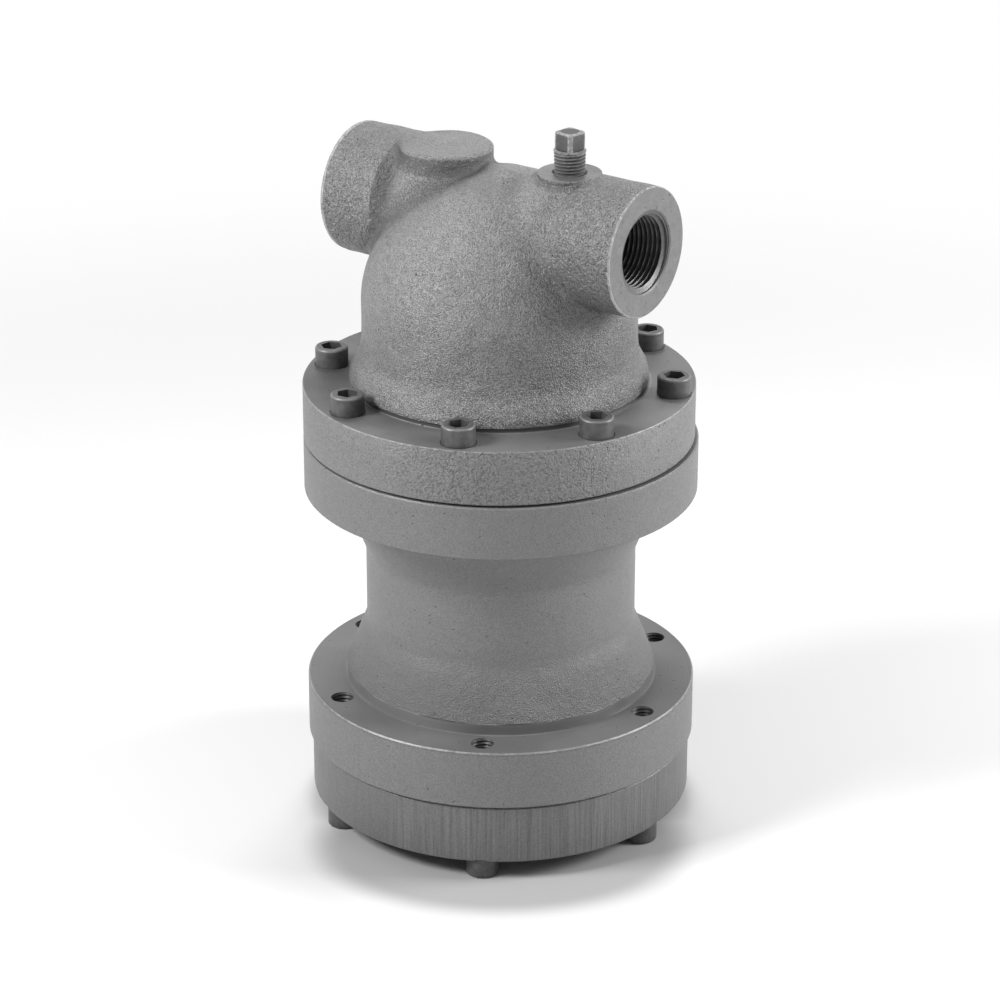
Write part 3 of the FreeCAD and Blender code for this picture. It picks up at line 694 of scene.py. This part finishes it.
# The creases' painted shade is exp(-(a a + b b) / 20) for distances a and b to the two forms that meet, or
# exp(-a a / 6) for the distance a to a pad's wall; the divisor sets how wide the painted shade line is.
spots = np.empty(len(cap_casting.data.vertices) * 3, dtype=np.float32)
cap_casting.data.vertices.foreach_get("co", spots)
x, y, z = ((spots.reshape(-1, 3) - cap_middle) * 1000).T
dome_away = ball(x, y, z)
outlet_away, inlet_away = bar(x, y, z, *outlet_bar), bar(x, y, z, *inlet_bar)
blank_away = np.abs(np.hypot(x - blank_pad[0], y) - blank_pad[1]) + 4 * (np.abs(z - 92.5) > 3.5)
vent_away = np.abs(np.hypot(x - vent_pad[0], y) - 13.6) + 4 * (np.abs(z - 94.0) > 2.0)
painted_crease_shade = np.exp(-(dome_away ** 2 + inlet_away ** 2) / 20)
painted_crease_shade += 0.5 * np.exp(-(dome_away ** 2 + outlet_away ** 2) / 12)
painted_crease_shade += 0.9 * np.exp(-blank_away ** 2 / 6) * (z > 84) + 0.8 * np.exp(-vent_away ** 2 / 2) * (z > 88)
shadows = cap_casting.data.attributes.new("painted_crease_shade", "FLOAT", "POINT")
shadows.data.foreach_set("value", painted_crease_shade.astype(np.float32))


# Port threads: the taper pipe threads that a tap cut in both ports of the cap casting.
# Behind them are the cored passages, left as cast.
thread_pitch, crest_reach, root_reach, thread_length = 0.002209, 0.01485, 0.0166, 0.0220
passage_reach = 0.0140
thread_columns, thread_rows = 160, 151
bore_greys, bore_bump = (0.07, 0.15), 0.00004


def port_thread(way):
    """Threaded bore: its radius is a clipped triangle wave of depth / pitch - turn, from root to crest."""
    angles = full_turn(thread_columns)
    depth = np.linspace(0, thread_length, thread_rows)[:, None]
    phase = np.mod(depth / thread_pitch - angles / (2 * math.pi), 1.0)
    crest = np.clip((np.abs(2 * phase - 1) - 0.12) / 0.72, 0, 1)
    open_end = np.clip((depth - 0.0003) / 0.0007, 0, 1)
    flared_root = root_reach + 0.0005 * np.clip(1 - depth / 0.004, 0, 1)
    radius = flared_root - (flared_root - crest_reach) * crest * open_end - depth / 32 * 0.6
    x = way * (port_end - mouth_depth - depth) + 0 * angles
    tail = np.array([(0.0225, passage_reach), (0.030, passage_reach), (0.050, passage_reach),
                     (0.0640, passage_reach), (0.0690, 0.0100), (0.0708, 0.0)])
    radius = np.concatenate([radius, tail[:, 1:] + 0 * angles])
    x = np.concatenate([x, way * (port_end - mouth_depth - tail[:, :1]) + 0 * angles])
    points = np.stack([x, radius * np.cos(angles), port_rise + radius * np.sin(angles)], -1)
    faces = quads(len(points), thread_columns)
    return points.reshape(-1, 3), faces if way < 0 else faces[:, ::-1]


bore_finish, tree, surface, where = start_finish("threaded_iron", 0.42, 0.4)
dress(tree, surface, shade(tree, noise(tree, where, 500.0, 3.0), *bore_greys),
      noise(tree, where, 1500.0, 2.0), bore_bump)
outlet_bore = add_piece("outlet_bore", [port_thread(1)], bore_finish, cap_middle)
inlet_bore = add_piece("inlet_bore", [port_thread(-1)], bore_finish, cap_middle)
for piece in (cap_flange, cap_casting, outlet_bore, inlet_bore):
    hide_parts("cap")


# Vent plug: a small steel pipe plug with a taper thread and a square head, screwed into the vent pad.
# Its thread, its chamfer and the square are turned and milled, so their edges are bright.
plug_pitch, plug_reach, square_half, corner_reach = 0.00141, 0.0067, 0.00475, 0.00605
shown, head_height, plug_turn, plug_columns = 0.0098, 0.0072, math.radians(81), 192
head_top = shown + head_height
plug_foot = (cap_middle[0] + vent_x, cap_middle[1], flange_top + vent_top)
plug_greys, plug_bump = (0.045, 0.40), 0.00006


def plug_rows():
    """Plug's thread, whose radius is a clipped triangle wave of height / pitch - turn, and its square head.

    The square's radius is half its width / max(|cos|, |sin|), cut to the turned corner radius.
    """
    angles = full_turn(plug_columns)
    rise = np.linspace(-0.0052, shown - 0.0007, 150)[:, None]
    phase = np.mod(rise / plug_pitch - angles / (2 * math.pi), 1.0)
    groove = np.clip((0.86 - np.abs(2 * phase - 1)) / 0.74, 0, 1)
    fade = np.clip((shown - 0.0008 - rise) / 0.0006, 0, 1)
    thread = plug_reach - 0.00012 - 0.00078 * groove * fade + (rise - shown) / 32
    side = np.maximum(np.abs(np.cos(angles - plug_turn)), np.abs(np.sin(angles - plug_turn)))
    square = np.minimum(square_half / side, corner_reach)
    collar = [(shown - 0.0006, plug_reach), (shown - 0.0001, plug_reach - 0.0006),
              (shown, plug_reach - 0.0010)]
    head = [(shown, 1.0), (head_top - 0.0007, 1.0), (head_top - 0.0002, 0.95), (head_top, 0.88),
            (head_top, 0.5), (head_top, 0.0)]
    heights = np.concatenate([rise[:, 0], [level for level, size in collar + head]])
    radius = np.concatenate([thread, [0 * angles + size for level, size in collar],
                             [square * size for level, size in head]])
    radius[0] = 0
    points = np.stack([radius * np.cos(angles), radius * np.sin(angles), heights[:, None] + 0 * angles], -1)
    return points.reshape(-1, 3), quads(len(points), plug_columns)


plug_finish, tree, surface, where = start_finish("plug_steel", 0.55, 0.0, 0.25)
wear = noise(tree, where, 700.0, 3.0, 0.6)
own = place(tree, "ShaderNodeVectorMath", {0: where, 1: plug_foot}, operation="SUBTRACT").outputs[0]
level, reach = split(tree, own)["Z"], axis_reach(tree, own)
corners = times(tree, ramp(tree, reach, 0.00555, 0.0060), above(tree, level, shown - 0.0002))
top_edge = times(tree, ramp(tree, level, head_top - 0.0009, head_top - 0.0004),
                 ramp(tree, reach, 0.0035, 0.0042))
crests = times(tree, ramp(tree, reach, 0.0060, 0.0065), 0.6)
edges = either(tree, either(tree, corners, top_edge), crests)
bright = scale_add(tree, edges, ramp(tree, wear, 0.3, 0.6, 0.3, 0.8), times(tree, wear, 0.2))
dress(tree, surface, shade(tree, bright, *plug_greys), wear, plug_bump)
vent_plug = add_piece("vent_plug_threaded", [plug_rows()], plug_finish, plug_foot, 28.0)
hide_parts("vent_plug")


# Tapped holes: the screw threads that a tap cut in the iron of the body's lower flange.
# They are seen from above, where the cover screws don't reach.
tap_pitch, tap_crest, tap_root = 0.00159, 0.0040, 0.0047
tap_top, tap_depth, tap_circle, tap_count = lower_face - 0.0002, 0.0058, 0.0737, 6
tap_columns, tap_rows = 64, 44
tap_shade_greys, tap_bump = (0.02, 0.07), 0.00003


def tapped_rows(turn_to):
    """Hole wall whose radius is a triangle wave of depth / pitch - turn between root and crest."""
    angles = full_turn(tap_columns)
    depth = np.linspace(0, tap_depth, tap_rows)[:, None]
    phase = np.mod(depth / tap_pitch - angles / (2 * math.pi), 1.0)
    radius = tap_root - (tap_root - tap_crest) * np.abs(2 * phase - 1) * np.clip(depth / 0.0008, 0, 1)
    points = np.stack([radius * np.cos(angles) + tap_circle * math.cos(turn_to),
                       radius * np.sin(angles) + tap_circle * math.sin(turn_to),
                       tap_top - depth + 0 * angles], -1)
    return points.reshape(-1, 3), quads(len(points), tap_columns)


# The threads' grey is the iron's, darkened near black as painted shade inside the holes.
tap_finish, tree, surface, where = start_finish("tapped_iron", 0.5, 0.3)
dress(tree, surface, shade(tree, noise(tree, where, 900.0, 3.0), *tap_shade_greys),
      noise(tree, where, 1500.0, 2.0), tap_bump)
tap_patches = [tapped_rows(turn_to) for turn_to in full_turn(tap_count)]
add_piece("tapped_threads", tap_patches, tap_finish)


# Screws: eight socket head screws hold the cap, and six more come up through the bottom cover.
# They are forged alloy steel with rolled threads, oiled black and rubbed grey by handling.
screw_greys, screw_bump = (0.045, 0.18), 0.00008

screw_finish, tree, surface, where = start_finish("screw_steel", 0.42, 0.25, 0.35)
lean = facing(tree)["Z"]
rubbed = times(tree, ramp(tree, lean, 0.2, 0.5), ramp(tree, lean, 0.995, 0.9))
wear = noise(tree, where, 350.0, 3.0)
tone = scale_add(tree, rubbed, 0.7, times(tree, wear, 0.8))
dress(tree, surface, shade(tree, tone, *screw_greys), wear, screw_bump)
for name in ("cap_screws", "cover_screws"):
    finish_node(name, screw_finish)


# Stage: a wide pale floor, a white background, soft lamps at both sides and above, and the camera.
# The photo shows a flat grey oval in place of the separator's shadow, so the floor's colour has one.
# The oval's two directions are each divided by half its length that way, so its rim lies at 1.
floor_reach, floor_grey, oval_grey = 6.0, 0.84, 0.46
oval_across, oval_before, oval_shift = (10.12, 7.33, 0), (9.78, -13.50, 0), 0.833
lamp_target = Vector((0, 0, 0.15))


def stage_floor(reach):
    """Flat square floor at the level that the separator stands on."""
    mesh = bpy.data.meshes.new("floor")
    corners = [(-reach, -reach, 0), (reach, -reach, 0), (reach, reach, 0), (-reach, reach, 0)]
    mesh.from_pydata(corners, [], [(0, 1, 2, 3)])
    return bpy.data.objects.new("floor", mesh)


def seen_by(tree, kinds):
    """Mask that is 1 for light rays of the named kinds."""
    path = tree.nodes.new("ShaderNodeLightPath").outputs
    seen = path[kinds[0]]
    for kind in kinds[1:]:
        seen = calculate(tree, "ADD", seen, path[kind])
    return calculate(tree, "MINIMUM", seen, 1.0)


# Far from the separator the camera sees the floor as white as the background.
floor = stage_floor(floor_reach)
bpy.context.scene.collection.objects.link(floor)
floor_finish, tree, surface, where = start_finish("pale_floor", 0.9, 0.0, 0.0)
reach = length(tree, where)
before = calculate(tree, "SUBTRACT", along(tree, where, oval_before), oval_shift)
oval = place(tree, "ShaderNodeCombineXYZ", {0: along(tree, where, oval_across), 1: before}).outputs[0]
# Painted shadow: the oval, joined with a round painted shadow under the cover.
shadow = either(tree, ramp(tree, length(tree, oval), 1.10, 0.84), ramp(tree, reach, 0.088, 0.07))
dress(tree, surface, shade(tree, shadow, floor_grey, oval_grey))
white = place(tree, "ShaderNodeEmission", {"Strength": 1.0})
far = times(tree, ramp(tree, reach, 0.35, 0.9), seen_by(tree, ["Is Camera Ray", "Is Glossy Ray"]))
shown_floor = place(tree, "ShaderNodeMixShader", {0: far, 1: surface.outputs[0], 2: white.outputs[0]})
tree.links.new(shown_floor.outputs[0], tree.nodes["Material Output"].inputs["Surface"])
floor.data.materials.append(floor_finish)

# The background is white to look at, and lights the separator only weakly.
world = bpy.data.worlds.new("studio")
bpy.context.scene.world = world
world.use_nodes = True
tree = world.node_tree
background = tree.nodes["Background"].inputs
background["Color"].default_value = (1, 1, 1, 1)
seen = seen_by(tree, ["Is Camera Ray", "Is Glossy Ray", "Is Transmission Ray"])
tree.links.new(ramp(tree, seen, 0.0, 1.0, 0.27, 1.0), background["Strength"])


def soft_lamp(name, azimuth, elevation, distance, size, power):
    light = bpy.data.lights.new(name, "AREA")
    light.size = size
    light.energy = power
    lamp = bpy.data.objects.new(name, light)
    a, e = math.radians(azimuth), math.radians(elevation)
    back = Vector((math.sin(a) * math.cos(e), -math.cos(a) * math.cos(e), math.sin(e)))
    lamp.location = lamp_target + back * distance
    lamp.rotation_mode = "QUATERNION"
    lamp.rotation_quaternion = (-back).to_track_quat("-Z", "Y")
    bpy.context.scene.collection.objects.link(lamp)


soft_lamp("left_lamp", -30, 37, 1.1, 0.35, 11.5)
soft_lamp("right_lamp", 125, 22, 1.1, 0.4, 11)
soft_lamp("top_lamp", 215, 62, 1.3, 0.35, 5.5)

# The camera stands where the photo's stood, as worked out from the ellipses of the flanges.
camera = bpy.data.objects.new("camera", bpy.data.cameras.new("camera"))
camera.data.lens = 129.13
camera.data.sensor_width = 36
camera.location = (0.82173, -1.13455, 0.73290)
toward = Vector((-0.54019, 0.74538, -0.39065))
camera.rotation_mode = "QUATERNION"
camera.rotation_quaternion = toward.to_track_quat("-Z", "Y") @ Quaternion((0, 0, 1), math.radians(0.06))
bpy.context.scene.collection.objects.link(camera)
bpy.context.scene.camera = camera
bpy.context.scene.view_settings.view_transform = "Standard"
